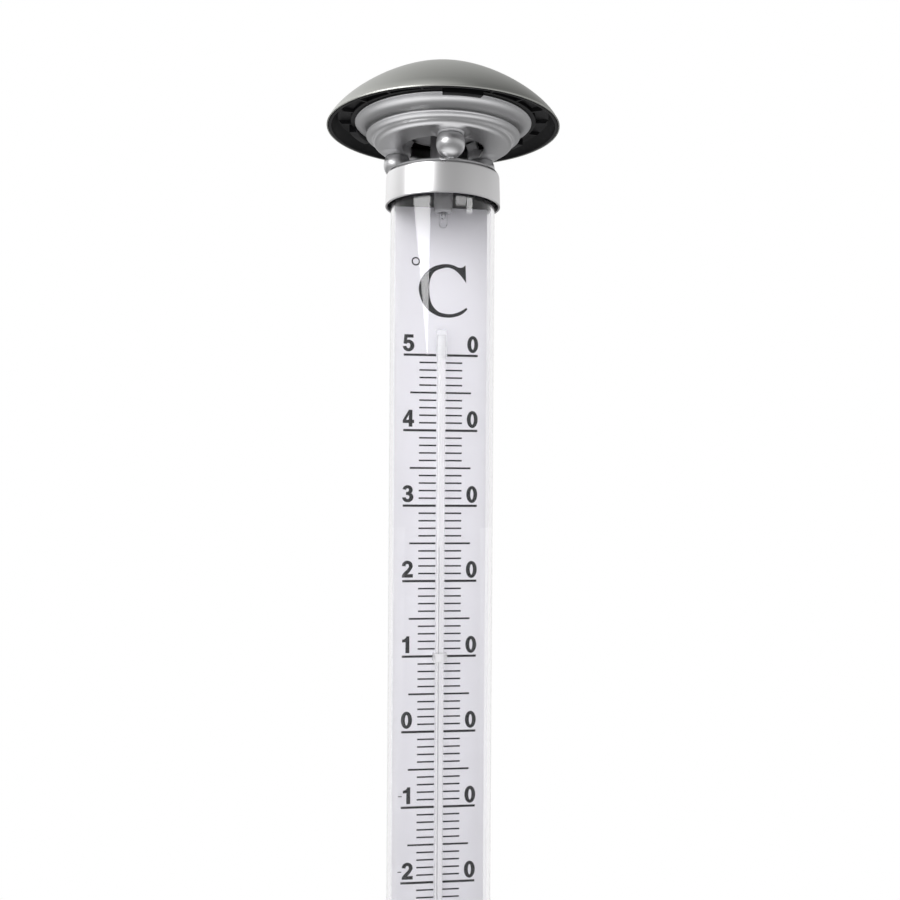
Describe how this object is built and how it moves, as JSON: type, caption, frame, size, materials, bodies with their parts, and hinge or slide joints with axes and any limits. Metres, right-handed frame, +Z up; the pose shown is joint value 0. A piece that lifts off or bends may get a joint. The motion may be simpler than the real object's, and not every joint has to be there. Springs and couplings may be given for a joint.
{
  "type": "outdoor thermometer",
  "caption": "Solar garden thermometer on a ground spike: a clear tube with a printed scale and liquid capillary inside, below a domed solar lamp head.",
  "frame": {"origin": "on the tube's axis at soil level, which is the underside of the spike's flange", "axes": "+Z up along the tube, the printed scale faces -Y, +X to the reader's right"},
  "size_m": [0.1384, 0.1384, 0.869],
  "materials": {
    "spike_plastic": "moulded, fine satin",
    "silver_paint": "silver paint, satin",
    "black_plastic": "moulded, satin",
    "seal_rubber": "matt",
    "clear_plastic": "clear, glossy",
    "panel_white": "white with a black printed scale",
    "capillary_glass": "clear, glossy",
    "dark_liquid": "tinted liquid",
    "collar_metal": "satin",
    "steel_parts": "bright plated",
    "dome_steel": "satin",
    "cell_blue": "dark blue cell with thin silver lines",
    "board_green": "glossy",
    "battery_jacket": "plain printed sleeve",
    "knob_plastic": "satin",
    "stem_grey": "satin",
    "holder_grey": "satin",
    "lamp_clear": "clear",
    "wire_red": "insulated"
  },
  "bodies": {
    "spike": {"ground_spike": "spike_plastic"},
    "column": {"foot_collar": "silver_paint", "foot_socket": "black_plastic", "foot_seal": "seal_rubber", "clear_tube": "clear_plastic", "scale_panel": "panel_white", "capillary_glass": "capillary_glass", "capillary_sleeve": "clear_plastic", "capillary_clips": "clear_plastic", "reservoir_liquid": "dark_liquid"},
    "head": {"collar_ring": "collar_metal", "collar_liner": "black_plastic", "ball_spacers": "silver_paint", "ball_studs": "steel_parts", "lamp_dish": "silver_paint"},
    "solar_top": {"top_housing": "black_plastic", "dome_shell": "dome_steel", "solar_cell": "cell_blue", "cell_cover": "clear_plastic", "cell_gasket": "seal_rubber", "cell_tray": "black_plastic", "battery_door": "black_plastic", "door_screws": "steel_parts", "circuit_board": "board_green", "battery": "battery_jacket", "battery_contacts": "steel_parts", "switch_body": "black_plastic", "lamp_stem": "stem_grey", "lamp_holder": "holder_grey", "lamp_bulb": "lamp_clear", "lamp_wires": "wire_red"},
    "switch": {"switch_knob": "knob_plastic"},
    "liquid": {"liquid_thread": "dark_liquid", "liquid_top": "dark_liquid"}
  },
  "joints": [
    {"name": "column_lift", "type": "slide", "parent": "spike", "child": "column", "axis": [0, 0, 1], "range_m": [0, 0.05]},
    {"name": "head_lift", "type": "slide", "parent": "column", "child": "head", "axis": [0, 0, 1], "range_m": [0, 0.04]},
    {"name": "top_lift", "type": "slide", "parent": "head", "child": "solar_top", "axis": [0, 0, 1], "range_m": [0, 0.08]},
    {"name": "switch_slide", "type": "slide", "parent": "solar_top", "child": "switch", "axis": [1, 0, 0], "range_m": [0, 0.004]},
    {"name": "column_rise", "type": "slide", "parent": "column", "child": "liquid", "axis": [0, 0, 1], "range_m": [-0.246, 0.115], "deforming": ["liquid_thread"]}
  ]
}
